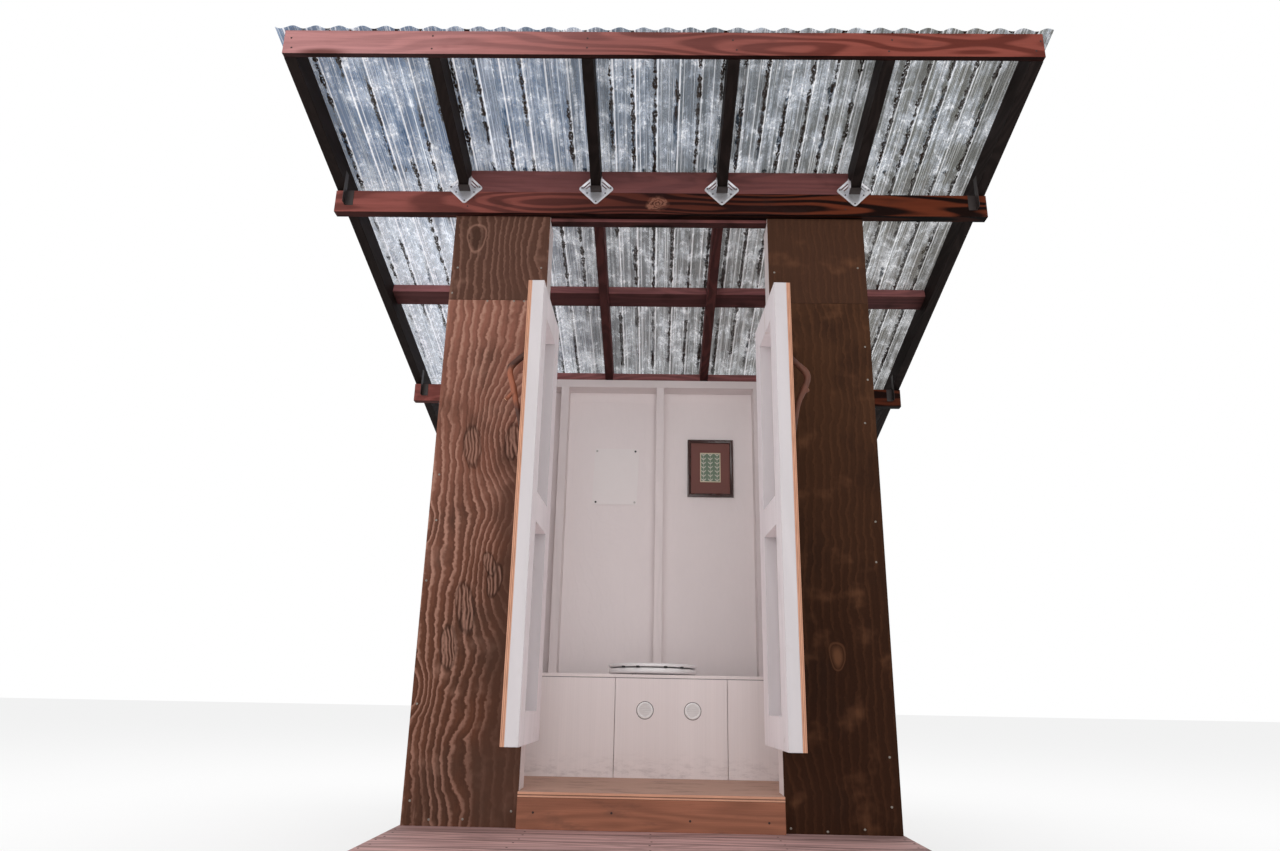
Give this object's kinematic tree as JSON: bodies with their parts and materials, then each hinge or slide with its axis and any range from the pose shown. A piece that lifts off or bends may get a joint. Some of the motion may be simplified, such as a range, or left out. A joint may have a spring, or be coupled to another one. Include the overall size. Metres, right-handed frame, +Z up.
{
  "type": "wooden outhouse",
  "caption": "Timber-framed plywood outhouse with two swing doors, a bench with a lidded toilet seat, and a clear corrugated lean-to roof.",
  "frame": {"origin": "centre of the cabin's footprint, on the bottom of the platform's middle joist", "axes": "+Z up, -Y out of the doorway, +X to the right of someone facing the doorway from outside"},
  "size_m": [2.5136, 2.39, 2.5818],
  "materials": {
    "stained_timber": "red-brown stain over softwood, satin",
    "stained_plywood": "brown stain over fir plywood, matt",
    "white_timber": "white paint, matt",
    "white_boards": "white paint on plywood, matt",
    "bare_timber": "bare softwood",
    "bare_plywood": "bare plywood, scuffed",
    "weathered_deck": "weathered boards",
    "clear_sheet": "clear corrugated plastic, litter in the valleys",
    "galvanised_steel": "galvanised",
    "branch_wood": "peeled natural branch, oiled",
    "white_plastic": "smooth white",
    "picture_moulding": "dark brown moulding"
  },
  "bodies": {
    "cabin": {"back_wall_panel": "stained_plywood", "back_wall_plates": "white_timber", "back_wall_studs": "white_timber", "bench_cleats": "white_boards", "bench_front_panels": "white_boards", "bench_top": "white_boards", "bench_vents": "white_plastic", "deck_boards": "weathered_deck", "deck_joists": "weathered_deck", "deck_rims": "weathered_deck", "door_jambs": "white_timber", "fascia": "stained_timber", "floor_joists": "bare_timber", "floor_panel": "bare_plywood", "floor_rims": "bare_timber", "front_beam": "stained_timber", "front_blocking": "stained_timber", "front_header": "stained_timber", "front_left_panel": "stained_plywood", "front_left_upper_panel": "stained_plywood", "front_rafters": "stained_timber", "front_right_panel": "stained_plywood", "front_right_upper_panel": "stained_plywood", "front_wall_plates": "white_timber", "left_wall_hinges": "galvanised_steel", "left_wall_panel": "stained_plywood", "outer_rafters": "stained_timber", "picture_frame": "picture_moulding", "rafter_hangers": "galvanised_steel", "rafter_ties": "galvanised_steel", "rear_beam": "stained_timber", "rear_blocking": "stained_timber", "rear_rafters": "stained_timber", "right_wall_hinges": "galvanised_steel", "right_wall_panel": "stained_plywood", "roof_purlins": "stained_timber", "roof_sheet_1": "clear_sheet", "roof_sheet_2": "clear_sheet", "roof_sheet_3": "clear_sheet", "roof_sheet_4": "clear_sheet", "side_wall_plates": "white_timber", "side_wall_studs": "white_timber", "toe_board": "bare_timber", "toilet_seat": "white_plastic"},
    "left_door": {"left_door_panel": "stained_plywood", "left_door_frame": "white_timber", "left_door_handle": "branch_wood", "left_door_hinges": "galvanised_steel"},
    "right_door": {"right_door_panel": "stained_plywood", "right_door_frame": "white_timber", "right_door_handle": "branch_wood", "right_door_hinges": "galvanised_steel"},
    "toilet_lid": {"toilet_lid": "white_plastic"}
  },
  "joints": [
    {"name": "left_door_swing", "type": "hinge", "parent": "cabin", "child": "left_door", "pos_m": [-0.406, -0.6275, 1.0685], "axis": [0, 0, -1], "range_deg": [-90.9, 69.1]},
    {"name": "right_door_swing", "type": "hinge", "parent": "cabin", "child": "right_door", "pos_m": [0.406, -0.6275, 1.0685], "axis": [0, 0, 1], "range_deg": [-92, 68]},
    {"name": "toilet_lid_hinge", "type": "hinge", "parent": "cabin", "child": "toilet_lid", "pos_m": [0, 0.4275, 0.635], "axis": [-1, 0, 0], "range_deg": [0, 100]}
  ]
}
